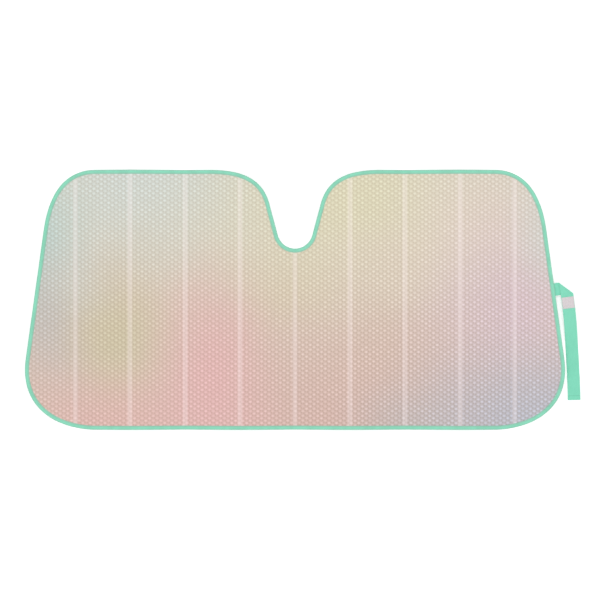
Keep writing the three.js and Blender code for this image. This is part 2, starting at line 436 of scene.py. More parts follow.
def makeReliefTree():
    tree, given, give = newShapeTree(
        "bubbleRelief", edge="Object", landWidth=pleatShape["landWidth"], landStep=pleatShape["landStep"],
        **bubbleLattice, **filmShape, **frontShape)
    position = nodeValue(tree, "GeometryNodeInputPosition")
    x, y, layer = splitVector(position)
    pleat = useGroup(pleatGroup, x=x, land=given.landWidth)
    edge = nodeValue(tree, "GeometryNodeObjectInfo", {"Object": given.edge}, "Geometry",
                     transform_space="RELATIVE")
    fromEdge = nodeValue(tree, "GeometryNodeProximity", {0: edge, "Sample Position": joinVector(x, y)},
                         "Distance", target_element="EDGES")
    body = smoothRange(fromEdge, given.rimWidth, given.rimWidth + given.rimStep)
    halfLand = given.landWidth / 2.0
    panel = smoothRange(pleat["From Crease"], halfLand, halfLand + given.landStep)
    dx, dy, column, row = bubbleCell(position, given.start, given.columnPitch, given.bubblePitch)
    dome = smoothRange(vectorCalc("LENGTH", joinVector(dx, dy)), given.footRadius, given.flatRadius)
    chance = nodeValue(tree, "ShaderNodeTexWhiteNoise", {"Vector": joinVector(column, row, given.seed)},
                       "Value", noise_dimensions="3D")
    bubble = dome * (1.0 - chance * given.slack) * given.bubbleHeight
    fold = smoothRange(pleat["From Crease"], 0.0, halfLand, given.groove, 0.0)
    onLand = given.landHeight - fold + bubble * given.pressedShare
    surface = mixValue(panel, onLand, given.valleyHeight + bubble)
    surface = mixValue(body, given.rimHeight, surface)
    crumple = noiseValue(joinVector(x, y, given.seed), given.crumpleSize) - 0.5
    height = mixValue(layer, given.middleHeight, surface) + crumple * given.crumple * (panel * body)
    moved = nodeValue(tree, "GeometryNodeSetPosition", {
        "Geometry": given.geometry, "Position": joinVector(x, y, height + pleat["Height"])})
    endTree(moved, given, give)
    return tree


# Shader groups that more than one material uses

creaseMarks = {
    # shares of the land's width from the crease, then the half widths of the thin lines
    "bandOuter": 0.72, "bandInner": 0.35, "line": 0.36, "flank": 0.8,
    "lineReach": (0.0011, 0.0002), "flankReach": (0.0035, 0.001),
}


def makeLatticeGroup():
    tree, given, give = newTree(
        "bubblePattern", "Shader", ("distance", "chance"), position="Vector", start=bubbleLattice["start"],
        columnPitch=bubbleLattice["columnPitch"], bubblePitch=bubbleLattice["bubblePitch"], squash=1.0)
    dx, dy, column, row = bubbleCell(given.position, given.start, given.columnPitch, given.bubblePitch)
    chance = nodeValue(tree, "ShaderNodeTexWhiteNoise", {"Vector": joinVector(column, row)}, "Value",
                       noise_dimensions="2D")
    give(distance=vectorCalc("LENGTH", joinVector(dx * given.squash, dy)), chance=chance)
    return tree


def makeCreaseGroup():
    tree, given, give = newTree(
        "creaseBands", "Shader", ("band", "lines", "flank"), position="Vector",
        pitch=pleatShape["pitch"], land=pleatShape["landWidth"])
    x = splitVector(given.position)[0]
    offset = x - calc("ROUND", x / given.pitch) * given.pitch
    away = calc("ABSOLUTE", offset)
    # the thin lines either side of the crease carry a painted highlight, and the flank on one side of it a
    # painted shade
    fromLine = apart(away, given.land * creaseMarks["line"])
    fromFlank = apart(offset, given.land * creaseMarks["flank"])
    give(band=smoothRange(away, given.land * creaseMarks["bandOuter"], given.land * creaseMarks["bandInner"]),
         lines=smoothRange(fromLine, *creaseMarks["lineReach"]),
         flank=smoothRange(fromFlank, *creaseMarks["flankReach"]))
    return tree


def makePoolGroup():
    tree, given, give = newTree(
        "softPool", "Shader", ("mask",), position="Vector", centre="Vector", spread=(0.2, 0.2, 1.0),
        strength=1.0)
    offset = vectorCalc("SUBTRACT", given.position, given.centre)
    away = vectorCalc("LENGTH", vectorCalc("DIVIDE", offset, given.spread))
    give(mask=smoothRange(away, 1.0, 0.0) * given.strength)
    return tree


def makeWeaveGroup():
    # plain weave from a length along and across the cloth, in metres
    tree, given, give = newTree(
        "plainWeave", "Shader", ("height", "shade"), lengths="Vector", yarn=0.0006, roughScale=900.0)
    along, across = splitVector(given.lengths)[:2]
    turn = calc("DIVIDE", math.pi, given.yarn)
    crossing = calc("SINE", along * turn) * calc("SINE", across * turn)
    height = crossing * 0.5 + 0.5 + noiseValue(given.lengths, given.roughScale) * 0.6
    give(height=height, shade=smoothRange(height, 0.0, 1.4))
    return tree


latticeGroup = makeLatticeGroup()
creaseGroup = makeCreaseGroup()
poolGroup = makePoolGroup()
weaveGroup = makeWeaveGroup()


# Materials

def srgb(red, green, blue):
    channels = [value / 255 for value in (red, green, blue)]
    linear = [c / 12.92 if c <= 0.04045 else ((c + 0.055) / 1.055) ** 2.4 for c in channels]
    return (*linear, 1.0)


def newMaterial(name, **settings):
    material = bpy.data.materials.new(name)
    material.use_nodes = True
    shader = material.node_tree.nodes["Principled BSDF"]
    for label, value in titled(settings).items():
        shader.inputs[label].default_value = value
    return material, material.node_tree, shader


def objectPlace(tree):
    return nodeValue(tree, "ShaderNodeTexCoord", output="Object")


def mixColour(share, first, second, blend="MIX"):
    feeds = {0: share, 6: first, 7: second}
    return nodeValue(treeOf(feeds.values()), "ShaderNodeMix", feeds, 2, data_type="RGBA", blend_type=blend)


def addBump(shader, height, distance, strength=1.0):
    feeds = {"Strength": strength, "Distance": distance, "Height": height}
    feed(shader.inputs["Normal"], nodeValue(height.tree, "ShaderNodeBump", feeds))


pearlFoil = {
    "ground": (220, 205, 188),
    # soft pools of colour: place, spread, strength and colour
    "pools": [
        ((0.0, 0.46), (2.6, 0.62), 1.0, (220, 218, 200)),
        ((0.0, -0.46), (2.6, 0.70), 1.0, (217, 183, 174)),
        ((-0.42, 0.34), (0.42, 0.34), 0.9, (211, 217, 211)),
        ((-0.74, 0.17), (0.26, 0.35), 1.0, (186, 209, 205)),
        ((-0.03, 0.03), (0.20, 0.17), 0.5, (217, 200, 174)),
        ((-0.68, -0.05), (0.23, 0.26), 0.75, (197, 190, 185)),
        ((-0.49, -0.09), (0.21, 0.28), 1.0, (210, 198, 168)),
        ((-0.50, -0.36), (0.30, 0.25), 0.8, (228, 185, 178)),
        ((0.34, -0.42), (0.27, 0.25), 0.6, (190, 190, 184)),
        ((-0.22, -0.22), (0.24, 0.42), 1.0, (229, 184, 181)),
        ((0.16, 0.27), (0.52, 0.40), 0.9, (224, 217, 185)),
        ((0.52, 0.18), (0.36, 0.30), 0.8, (229, 211, 201)),
        ((0.62, -0.03), (0.40, 0.34), 0.9, (219, 196, 203)),
        ((0.66, -0.34), (0.56, 0.32), 1.0, (190, 190, 200)),
        ((0.76, 0.22), (0.22, 0.30), 0.8, (208, 217, 211)),
        ((-0.39, 0.14), (0.15, 0.18), 0.5, (213, 207, 191)),
        ((-0.57, 0.07), (0.15, 0.16), 0.5, (211, 212, 204)),
        ((0.24, 0.09), (0.25, 0.20), 0.5, (225, 208, 193)),
    ],
    "driftScale": 2.2, "drift": 0.16,  # how finely and how far the pools wander
    # a lighter band along each crease, painted highlight on its thin lines and painted shade on its flank
    "creaseGain": 0.047, "lineGain": 0.03, "flankLoss": 0.01,
    "creaseBlush": 0.24, "creaseColour": (234, 222, 224), "creaseCalm": 0.38,
    # each mark of a bubble by its shade and the distances where it fades: painted shade in a ring round it,
    # and a painted highlight on its crown, stronger or weaker at random from bubble to bubble
    "ring": (0.0026, 0.0046), "ringShade": 0.05,
    "crown": (0.0040, 0.0004), "glint": 0.118, "crownSquash": 0.8, "bubbleMottle": 0.14,
    # painted shade where the film dips between the bubbles, deepest at two places beside each of them
    "dips": ((-0.00375, -0.0044), (0.00305, -0.0056)), "dip": (0.0034, 0.0004), "dipShade": 0.10,
    "highContrast": 1.22, "lowContrast": 1.38, "contrastFrom": (0.25, -0.1),
    "strongest": ((0.42, -0.28), (0.8, 0.5), 0.42), "level": 0.947,
    "channelGains": (0.74, 0.92, 1.12),
    "grainScale": 260.0, "roughness": (0.28, 0.42), "dome": (0.0052, 0.0016), "bump": (0.0004, 0.6),
}


def poolMask(position, centre, spread, strength):
    pool = useGroup(poolGroup, position=position, centre=(*centre, 0.0), spread=(*spread, 1.0),
                    strength=strength)
    return pool["Mask"]


def pearlPaintedLight(place, bubbles):
    # the painted highlight on every bubble's crown and the painted shade round it and in the dips beside it,
    # and how strong they are at each height of the sheet
    look = pearlFoil
    crown = smoothRange(bubbles["Distance"], *look["crown"])
    marks = smoothRange(bubbles["Distance"], *look["ring"]) * -look["ringShade"]
    for dipX, dipY in look["dips"]:
        startX, startY = bubbleLattice["start"][:2]
        dip = useGroup(latticeGroup, position=place, start=(startX + dipX, startY + dipY, 0.0))
        marks = marks + smoothRange(dip["Distance"], *look["dip"]) * -look["dipShade"]
    marks = marks + crown * look["glint"] + (bubbles["Chance"] - 0.5) * crown * look["bubbleMottle"]
    contrast = smoothRange(splitVector(place)[1], *look["contrastFrom"],
                           look["highContrast"], look["lowContrast"])
    return marks, contrast


def makePearlFoil():
    look = pearlFoil
    material, tree, shader = newMaterial(
        "pearlFoil", metallic=0.2, roughness=0.4, coatWeight=0.35, coatRoughness=0.2)
    place = objectPlace(tree)
    flat = vectorCalc("MULTIPLY", place, (1.0, 1.0, 0.0))
    wander = vectorCalc("SUBTRACT", noiseValue(flat, look["driftScale"], output="Color"), (0.5, 0.5, 0.5))
    moved = vectorCalc("ADD", flat, vectorCalc("MULTIPLY", wander, (look["drift"], look["drift"], 0.0)))
    colour = srgb(*look["ground"])
    for centre, spread, strength, tint in look["pools"]:
        colour = mixColour(poolMask(moved, centre, spread, strength), colour, srgb(*tint))
    bubbles = useGroup(latticeGroup, position=place, squash=look["crownSquash"])
    crease = useGroup(creaseGroup, position=place)
    relief, contrast = pearlPaintedLight(place, bubbles)
    contrast = contrast + poolMask(flat, *look["strongest"])
    # relief holds the painted highlight and shade of the bubbles, calmer on the creases
    relief = relief * contrast * (crease["Band"] * -look["creaseCalm"] + 1.0)
    # a lighter band on each crease, painted highlight on its thin lines and painted shade on its flank
    shade = crease["Band"] * look["creaseGain"] + look["level"]
    shade = shade + crease["Lines"] * look["lineGain"] - crease["Flank"] * look["flankLoss"]
    colour = mixColour(crease["Band"] * look["creaseBlush"], colour, srgb(*look["creaseColour"]))
    # the painted highlight and shade of the bubbles change red least and blue most, so that they look grey
    # and not rosy
    channels = [relief * gain + shade for gain in look["channelGains"]]
    feed(shader.inputs["Base Color"], mixColour(1.0, colour, joinVector(*channels), "MULTIPLY"))
    grain = noiseValue(place, look["grainScale"], 3.0)
    feed(shader.inputs["Roughness"], smoothRange(grain, 0.3, 0.7, *look["roughness"]))
    dome = smoothRange(bubbles["Distance"], *look["dome"])
    addBump(shader, dome * (1.0 - crease["Band"]) + grain * 0.25, *look["bump"])
    return material


silverFoil = {
    "colour": (214, 216, 219), "creaseColour": (232, 233, 235), "creaseShare": 0.4,
    "ring": (0.003, 0.0058), "ringShade": 0.22, "bubbleMottle": 0.06,
    "grainScale": 180.0, "roughness": (0.22, 0.4), "dome": (0.0056, 0.002), "bump": (0.0005, 0.5),
}


def makeSilverFoil():
    look = silverFoil
    material, tree, shader = newMaterial("silverFoil", metallic=0.75, roughness=0.3)
    place = objectPlace(tree)
    bubbles = useGroup(latticeGroup, position=place)
    ring = smoothRange(bubbles["Distance"], *look["ring"])
    shade = ring * -look["ringShade"] + 1.0 - bubbles["Chance"] * look["bubbleMottle"]
    colour = mixColour(1.0, srgb(*look["colour"]), joinVector(shade, shade, shade), "MULTIPLY")
    crease = useGroup(creaseGroup, position=place)
    colour = mixColour(crease["Band"] * look["creaseShare"], colour, srgb(*look["creaseColour"]))
    feed(shader.inputs["Base Color"], colour)
    grain = noiseValue(place, look["grainScale"], 4.0)
    feed(shader.inputs["Roughness"], smoothRange(grain, 0.3, 0.7, *look["roughness"]))
    addBump(shader, smoothRange(bubbles["Distance"], *look["dome"]) + grain, *look["bump"])
    return material


clothLook = {
    "roughness": 0.85, "weaveShade": 0.55, "patchScale": 35.0, "ribShade": 0.16,
    "seamReach": (0.0022, 0.0004), "seamShade": 0.6,
}


def makeCloth(name, cloth, ribs=None, seam=None, middle=None):
    look = clothLook
    material, tree, shader = newMaterial(
        name, roughness=look["roughness"], sheenWeight=0.25, sheenRoughness=0.5)
    lengths = nodeValue(tree, "ShaderNodeAttribute", output="Vector", attribute_name="weave")
    along, across = splitVector(lengths)[:2]
    weave = useGroup(weaveGroup, lengths=lengths, yarn=cloth["yarn"])
    height = weave["Height"]
    patchy = smoothRange(noiseValue(objectPlace(tree), look["patchScale"]), 0.35, 0.7)
    share = (1.0 - weave["Shade"]) * look["weaveShade"] + patchy * cloth["patches"]
    if ribs:
        rib = calc("SINE", across * (2 * math.pi / ribs))
        share = share + (rib * -look["ribShade"] + look["ribShade"])
        height = height + rib
    if seam:
        # painted shade where the cloth is pulled in along a row of stitches
        share = share + smoothRange(apart(along, seam), *look["seamReach"], 0.0, look["seamShade"])
    plain = srgb(*cloth["colour"])
    if middle:
        # painted highlight along the tape's rounded middle, a lighter green than its flattened edges
        highlightShare = smoothRange(apart(across, middle["place"]), middle["reach"], 0.0)
        plain = mixColour(highlightShare, plain, srgb(*middle["colour"]))
    feed(shader.inputs["Base Color"], mixColour(share, plain, srgb(*cloth["darker"])))
    addBump(shader, height, cloth["bump"])
    return material


def makeThread(name, colour, scale=1500.0, darkening=0.82, bump=0.0001):
    material, tree, shader = newMaterial(name, roughness=0.6, sheenWeight=0.2)
    ply = noiseValue(objectPlace(tree), scale)
    darker = [value * darkening for value in colour]
    feed(shader.inputs["Base Color"], mixColour(ply, srgb(*darker), srgb(*colour)))
    addBump(shader, ply, bump)
    return material


def makePile(name, look):
    material, tree, shader = newMaterial(name, roughness=look["roughness"], sheenWeight=0.3)
    tuft = noiseValue(objectPlace(tree), look["tuftScale"], 4.0)
    share = smoothRange(tuft, 0.35, 0.65)
    feed(shader.inputs["Base Color"], mixColour(share, srgb(*look["darker"]), srgb(*look["colour"])))
    addBump(shader, tuft, look["bump"])
    return material


# The two films

def makeFilm(name, shape, facesUp, material):
    film = filmMesh(name, facesUp)
    runNodes(film, reliefTree, edge=edgePath, material=material,
             **bubbleLattice, **pleatShape, **filmShape, **shape)
    return film


edgePath = pathPiece("edgePath", [flatPath(outline)])
reliefTree = makeReliefTree()
frontFilm = makeFilm("front_film", frontShape, True, makePearlFoil())
backFilm = makeFilm("back_film", backShape, False, makeSilverFoil())
bpy.data.objects.remove(edgePath)
print("films made:", len(frontFilm.data.polygons), len(backFilm.data.polygons), "faces")


# Binding tape, swept round the outline and laid over the pleats

tapeShape = {
    # inward from the outline and up from the back face, in millimetres
    "section": [
        (0.0, 1.7), (0.25, 2.5), (0.9, 3.0), (2.4, 3.25), (5.0, 3.3), (7.2, 3.1), (8.4, 2.92),
        (9.6, 3.05), (10.6, 3.0), (11.0, 2.75), (10.8, 2.52), (8.4, 2.48), (2.0, 2.5), (0.9, 2.3),
        (0.6, 1.7), (0.9, 1.1), (2.0, 0.9), (8.4, 0.9), (10.8, 0.9), (11.0, 0.65), (10.6, 0.35),
        (8.4, 0.4), (5.0, 0.3), (2.4, 0.3), (0.9, 0.5), (0.25, 0.95),
    ],
    "step": 0.0032, "ripple": 0.00025, "rippleScale": 180.0, "cutWidth": 0.0235,
    "colour": (158, 218, 193), "darker": (134, 202, 174), "yarn": 0.0005, "bump": 0.00012, "patches": 0.3,
    # where the tape's painted highlight lies, how wide it is and its colour
    "middleAt": 0.0056, "middleReach": 0.005, "middleColour": (143, 236, 203),
}


def curveOf(geometry):
    return nodeValue(geometry.tree, "GeometryNodeMeshToCurve", {0: geometry})


def evenCurve(geometry, spacing):
    return nodeValue(geometry.tree, "GeometryNodeResampleCurve",
                     {"Curve": curveOf(geometry), "Length": spacing}, mode="LENGTH")


def shadeSmooth(geometry):
    return nodeValue(geometry.tree, "GeometryNodeSetShadeSmooth", {"Geometry": geometry})


def keepLength(curve):
    # the curve with its lengths, counted both ways from the point opposite its start
    tree = curve.tree
    travelled = nodeValue(tree, "GeometryNodeSplineParameter", output="Length")
    whole = nodeValue(tree, "GeometryNodeSplineLength", output="Length")
    keep = addNode(tree, "GeometryNodeCaptureAttribute", domain="POINT")
    keep.capture_items.new("FLOAT", "Length")
    feed(keep.inputs[0], curve)
    feed(keep.inputs[1], apart(travelled, whole / 2.0))
    return Field(keep.outputs[0]), Field(keep.outputs[1])


def makeSweepTree():
    tree, given, give = newShapeTree("tapeSweep", profile="Object", step=0.003, ripple=0.0, rippleScale=100.0)
    line = nodeValue(tree, "GeometryNodeSetCurveNormal", {"Curve": evenCurve(given.geometry, given.step)},
                     mode="Z_UP")
    section = nodeValue(tree, "GeometryNodeObjectInfo", {"Object": given.profile}, "Geometry",
                        transform_space="RELATIVE")
    path, along = keepLength(line)
    profile, around = keepLength(curveOf(section))
    swept = nodeValue(tree, "GeometryNodeCurveToMesh", {"Curve": path, "Profile Curve": profile})
    stored = nodeValue(tree, "GeometryNodeStoreNamedAttribute",
                       {"Name": "weave", "Geometry": swept, "Value": joinVector(along, around)},
                       data_type="FLOAT_VECTOR", domain="POINT")
    position = nodeValue(tree, "GeometryNodeInputPosition")
    pleat = useGroup(pleatGroup, x=splitVector(position)[0])
    ripple = (noiseValue(position, given.rippleScale) - 0.5) * given.ripple
    moved = nodeValue(tree, "GeometryNodeSetPosition", {
        "Geometry": stored, "Offset": joinVector(ripple, ripple, pleat["Height"] + ripple)})
    endTree(shadeSmooth(moved), given, give)
    return tree


def makeBinding():
    ring = np.array(tapeShape["section"]) * (millimetre, -millimetre)
    middle = {"place": ringLength(ring) / 2 - tapeShape["middleAt"], "reach": tapeShape["middleReach"],
              "colour": tapeShape["middleColour"]}
    material = makeCloth("bindingCloth", tapeShape, middle=middle)
    section = pathPiece("tapeSection", [flatPath(ring)])
    tape = pathPiece("binding_tape", [flatPath(outline)])
    runNodes(tape, makeSweepTree(), profile=section, material=material, **tapeShape)
    bpy.data.objects.remove(section)
    return tape


bindingTape = makeBinding()
print("binding made:", len(bindingTape.data.polygons), "faces")


# Closing strap: one ribbon, folded over a diagonal line at its root and hemmed at its tip

strapShape = {
    "width": 0.034, "thickness": 0.0012, "exitHeight": 0.0275, "rootRise": 9,
    "rootFree": 0.031, "rootSewn": 0.016, "rootGap": 0.0001,
    "foldAngle": -36, "foldRadius": 0.001, "foldRows": (0.0032, 34),
    "legHandle": (0.0184, -0.11615), "legTip": (0.023, -0.3015),
    "hem": 0.013, "hemRadius": 0.00061, "hemSeam": 0.0022,
    "level": 0.074, "sink": 0.09, "lift": 0.0018, "liftEnd": 0.056, "liftRun": 0.013,
    "row": 0.0016, "columns": 47, "slantFrom": 0.004, "selvedge": (0.0, 0.00015, 0.0005, 0.001),
    "ribPitch": 0.0034, "ribDepth": 0.00008, "ribFade": 0.002, "edgeThinning": 0.85,
    "colour": (143, 235, 204), "darker": (122, 215, 183), "yarn": 0.0008, "bump": 0.00016, "patches": 0.15,
}


def sideX(y):
    return sheetShape["midWidth"] / 2 - y * math.tan(math.radians(sheetShape["sideLean"]))


strapExit = np.array([sideX(strapShape["exitHeight"]), strapShape["exitHeight"]])
rootDirection = heading(strapShape["rootRise"])
rootSide = heading(strapShape["rootRise"] + 90)
foldCentre = strapExit + strapShape["rootFree"] * rootDirection
foldLine = heading(strapShape["foldAngle"])
foldNormal = heading(strapShape["foldAngle"] + 90)


def legCurve():
    handle, tip = np.array(strapShape["legHandle"]), np.array(strapShape["legTip"])
    t = np.linspace(0, 1, 400)[:, None]
    points = foldCentre + 2 * t * (1 - t) * handle + t * t * tip
    return points, travelledLengths(points)


legPoints, legLengths = legCurve()
legLength = legLengths[-1]
legStart, legEnd = unit(legPoints[1] - legPoints[0]), unit(legPoints[-1] - legPoints[-2])
hemEnd = legLength + math.pi * strapShape["hemRadius"]


def legCentre(s):
    # the leg's centre line, running on straight past both of its ends
    centre = pointsAt(s, legLengths, legPoints)
    return centre + np.minimum(s, 0)[:, None] * legStart + np.maximum(s - legLength, 0)[:, None] * legEnd


def legPlace(s):
    # centre and sideways direction of the long leg at each length from the fold
    forward = unit(legCentre(s + 2 * millimetre) - legCentre(s - 2 * millimetre))
    return legCentre(s), toTheRight(forward)


def eased(value):
    value = np.clip(value, 0, 1)
    return value * value * (3 - 2 * value)


rootTop = float(pleatHeight(strapExit[0])) - strapShape["rootGap"]
legUnderside = rootTop + 2 * strapShape["foldRadius"] - strapShape["thickness"]


def legHeight(y):
    # middle of the long leg's thickness: level past the fold, sinking to the ground, lifted by the hook pad
    sinkStart = foldCentre[1] - strapShape["level"]
    under = legUnderside * (1 - eased((sinkStart - y) / strapShape["sink"]))
    liftAt = legPoints[-1][1] + strapShape["liftEnd"]
    under = under + strapShape["lift"] * eased((liftAt + strapShape["liftRun"] - y) / strapShape["liftRun"])
    return under + strapShape["thickness"] / 2


def ribbonSurface(s, t):
    # the middle surface of the ribbon for lengths s from the fold's centre and places t across
    bend, hemRadius, half = strapShape["foldRadius"], strapShape["hemRadius"], strapShape["thickness"] / 2
    start = -bend - half
    fromFold = (s + t) / math.sqrt(2)
    alongFold = (s - t) / math.sqrt(2)
    rootXy = foldCentre + s[:, None] * rootDirection + t[:, None] * rootSide
    rootZ = pleatHeight(np.minimum(rootXy[:, 0], strapExit[0])) - strapShape["rootGap"] - half
    turn = np.clip((fromFold - start) / bend, 0, math.pi)
    bentXy = foldCentre + alongFold[:, None] * foldLine + (start + bend * np.sin(turn))[:, None] * foldNormal
    bentZ = rootTop - half + bend * (1 - np.cos(turn))
    centre, sideways = legPlace(np.minimum(s, legLength))
    legXy = centre + t[:, None] * sideways
    hemTurn = np.clip((s - legLength) / hemRadius, 0, math.pi)
    back = np.clip(s - hemEnd, 0, None)
    legZ = legHeight(legXy[:, 1]) - hemRadius * (1 - np.cos(hemTurn))
    legXy = legXy + (hemRadius * np.sin(hemTurn) - back)[:, None] * legEnd
    inRoot = (fromFold < start)[:, None]
    inBend = (fromFold < start + math.pi * bend)[:, None]
    return np.where(inRoot, np.c_[rootXy, rootZ], np.where(inBend, np.c_[bentXy, bentZ], np.c_[legXy, legZ]))


def ribbonRows():
    # lengths of the rows of points, close together at the fold and round the hem's turn
    row, (reach, rows) = strapShape["row"], strapShape["foldRows"]
    gap, hemGap = 0.0003, 0.0004
    end = hemEnd + strapShape["hem"]
    return np.concatenate([
        np.arange(-strapShape["rootFree"] - strapShape["rootSewn"], -reach - gap, row),
        np.linspace(-reach, reach, rows),
        np.arange(reach + gap + row / 2, legLength - millimetre, row),
        np.linspace(legLength - hemGap, hemEnd + hemGap, 12),
        np.arange(hemEnd + row, end - row / 2, row), [end],
    ])


def makeStrap(material):
    half, thickness = strapShape["width"] / 2, strapShape["thickness"]
    *selvedge, inner = half - np.array(strapShape["selvedge"])
    across = np.r_[np.negative(selvedge), np.linspace(-inner, inner, strapShape["columns"]), selvedge[::-1]]
    rows = ribbonRows()
    q, t = np.meshgrid(rows, across, indexing="ij")
    # rows run along the diagonal near the fold and straight across away from it
    near, far = strapShape["slantFrom"], strapShape["rootFree"] + strapShape["rootSewn"]
    slant = 1 - eased((np.abs(q) - near) / (far - near))
    s, t = (q - t * slant).ravel(), t.ravel()
    step = 0.00005
    middle = ribbonSurface(s, t)
    normal = unit(np.cross(ribbonSurface(s + step, t) - ribbonSurface(s - step, t),
                           ribbonSurface(s, t + step) - ribbonSurface(s, t - step)))
    fromEdge = half - np.abs(t)
    rounding = np.clip(fromEdge / (thickness / 2), 0, 1)
    depth = thickness / 2 * np.sqrt(1 - (1 - rounding) ** 2 * strapShape["edgeThinning"])
    rib = np.cos(2 * math.pi * t / strapShape["ribPitch"]) * np.clip(fromEdge / strapShape["ribFade"], 0, 1)
    depth = (depth + strapShape["ribDepth"] * (rib - 1))[:, None]
    index = np.arange(len(s)).reshape(len(rows), len(across))
    other = index + len(s)
    quads = np.concatenate([
        gridQuads(index), gridQuads(other)[:, ::-1],
        stripQuads(index[0], other[0]), stripQuads(index[-1, ::-1], other[-1, ::-1]),
        stripQuads(index[::-1, 0], other[::-1, 0]), stripQuads(index[:, -1], other[:, -1]),
    ])
    points = np.concatenate([middle + normal * depth, middle - normal * depth])
    strap = newPiece("strap_webbing", points, quads.tolist(), material=material)
    weave = strap.data.attributes.new("weave", "FLOAT_VECTOR", "POINT")
    lengths = np.tile(np.c_[s, t, np.zeros(len(s))], (2, 1))
    weave.data.foreach_set("vector", lengths.astype(np.float32).ravel())
    return strap


hemSeam = legLength - strapShape["hem"] + strapShape["hemSeam"]
strap = makeStrap(makeCloth("elasticWebbing", strapShape, ribs=strapShape["ribPitch"], seam=hemSeam))
print("strap made:", len(strap.data.polygons), "faces")


# The two halves of the hook and loop tape, sewn to the strap's front and back

loopPadShape = {
    "at": 0.0405, "base": legUnderside + strapShape["thickness"] + 0.00002, "facing": 1.0,
    "length": 0.031, "width": 0.033, "thickness": 0.0006,
    "spacing": 0.00105, "loopRadius": 0.00042, "yarnRadius": 0.00009, "sweep": math.radians(210), "seed": 3,
    "colour": (232, 225, 227), "darker": (211, 202, 205), "roughness": 0.95,
    "tuftScale": 900.0, "bump": 0.0003,
}
hookPadShape = {
    "at": legLength - 0.039, "base": strapShape["lift"] - 0.00002, "facing": -1.0,
    "length": 0.034, "width": 0.032, "thickness": 0.0007,
    "spacing": 0.00115, "loopRadius": 0.0004, "yarnRadius": 0.00008, "sweep": math.radians(250), "seed": 5,
    "colour": (230, 228, 226), "darker": (208, 206, 204), "roughness": 0.6,
    "tuftScale": 700.0, "bump": 0.0003,
}
padEdge = {"corner": 0.0022, "taper": 0.0004, "seamInset": 0.0018, "seamLift": 0.0001}


def padRing(shape, inset=0.0, steps=6):
    # the pad's rounded outline in the leg's direction, anticlockwise seen from above
    centre, sideways = legPlace(np.array([shape["at"]]))
    side = sideways[0]
    direction = np.array([-side[1], side[0]])
    radius = padEdge["corner"]
    ring = []
    for i, (a, b) in enumerate(((1, 1), (-1, 1), (-1, -1), (1, -1))):
        for turn in np.linspace(i * 90, i * 90 + 90, steps):
            arc = radius * heading(turn)
            ring.append(centre[0] + direction * (a * (shape["length"] / 2 - inset - radius) + arc[0])
                        - side * (b * (shape["width"] / 2 - inset - radius) + arc[1]))
    return np.array(ring)


def makePileTree():
    tree, given, give = newShapeTree("pileOnPad", facing=1.0, spacing=0.001, loopRadius=0.0004,
                                     yarnRadius=0.0001, sweep=math.pi, lift=0.0002, seed=1)
    normal = nodeValue(tree, "GeometryNodeInputNormal")
    chosen = nodeValue(tree, "FunctionNodeCompare", {0: splitVector(normal)[2] * given.facing, 1: 0.9},
                       data_type="FLOAT", operation="GREATER_THAN")
    points = nodeValue(tree, "GeometryNodeDistributePointsOnFaces", {
        "Mesh": given.geometry, "Selection": chosen, "Distance Min": given.spacing,
        "Density Max": 4e6, "Seed": given.seed}, "Points", distribute_method="POISSON")
    arc = nodeValue(tree, "GeometryNodeCurveArc", {
        "Resolution": 7, "Radius": given.loopRadius, "Sweep Angle": given.sweep}, mode="RADIUS")
    yarn = nodeValue(tree, "GeometryNodeCurvePrimitiveCircle", {"Resolution": 4, "Radius": given.yarnRadius})
    loop = nodeValue(tree, "GeometryNodeCurveToMesh", {
        "Curve": arc, "Profile Curve": yarn, "Fill Caps": True})
    standing = nodeValue(tree, "GeometryNodeTransform", {
        "Geometry": loop, "Rotation": (math.pi / 2, 0.0, 0.0)})
    # below the strap the loops are mirrored, so their faces are turned over as well
    mirrored = nodeValue(tree, "FunctionNodeCompare", {0: given.facing},
                         data_type="FLOAT", operation="LESS_THAN")
    outward = nodeValue(tree, "GeometryNodeFlipFaces", {"Mesh": standing, "Selection": mirrored})
    turn = nodeValue(tree, "FunctionNodeRandomValue", {
        0: (-0.25, -0.25, 0.0), 1: (0.25, 0.25, 2 * math.pi)}, data_type="FLOAT_VECTOR")
    scale = nodeValue(tree, "FunctionNodeRandomValue", {2: 0.8, 3: 1.0}, 1, data_type="FLOAT")
    placed = nodeValue(tree, "GeometryNodeInstanceOnPoints", {
        "Points": points, "Instance": shadeSmooth(outward), "Rotation": turn,
        "Scale": joinVector(scale, scale, scale * given.facing)})
    lifted = nodeValue(tree, "GeometryNodeTranslateInstances", {
        "Instances": placed, "Translation": joinVector(0.0, 0.0, given.lift * given.facing),
        "Local Space": False})
    joined = addNode(tree, "GeometryNodeJoinGeometry")
    feed(joined.inputs[0], lifted)
    feed(joined.inputs[0], given.geometry)
    endTree(Field(joined.outputs[0]), given, give)
    return tree


def makePad(name, shape, material):
    # a slab whose far face is a little smaller than its sewn face, with its pile
    sewn, far = padRing(shape), padRing(shape, padEdge["taper"])
    low, high = (sewn, far) if shape["facing"] > 0 else (far, sewn)
    heights = sorted((shape["base"], shape["base"] + shape["facing"] * shape["thickness"]))
    points = np.concatenate([flatPath(low, heights[0])[0], flatPath(high, heights[1])[0]])
    lower = np.arange(len(low))
    upper = lower + len(low)
    sides = stripQuads(np.r_[lower, 0], np.r_[upper, upper[0]])
    pad = newPiece(name, points, [lower[::-1].tolist(), upper.tolist(), *sides.tolist()], smooth=False,
                   material=material)
    runNodes(pad, pileTree, material=material, lift=shape["loopRadius"] * 0.5, **shape)
    return pad


pileTree = makePileTree()
loopPad = makePad("loop_pad", loopPadShape, makePile("loopPile", loopPadShape))
hookPad = makePad("hook_pad", hookPadShape, makePile("hookTape", hookPadShape))
print("pads made:", len(loopPad.data.polygons), len(hookPad.data.polygons), "faces")


# Stitches, as rows of short threads along paths

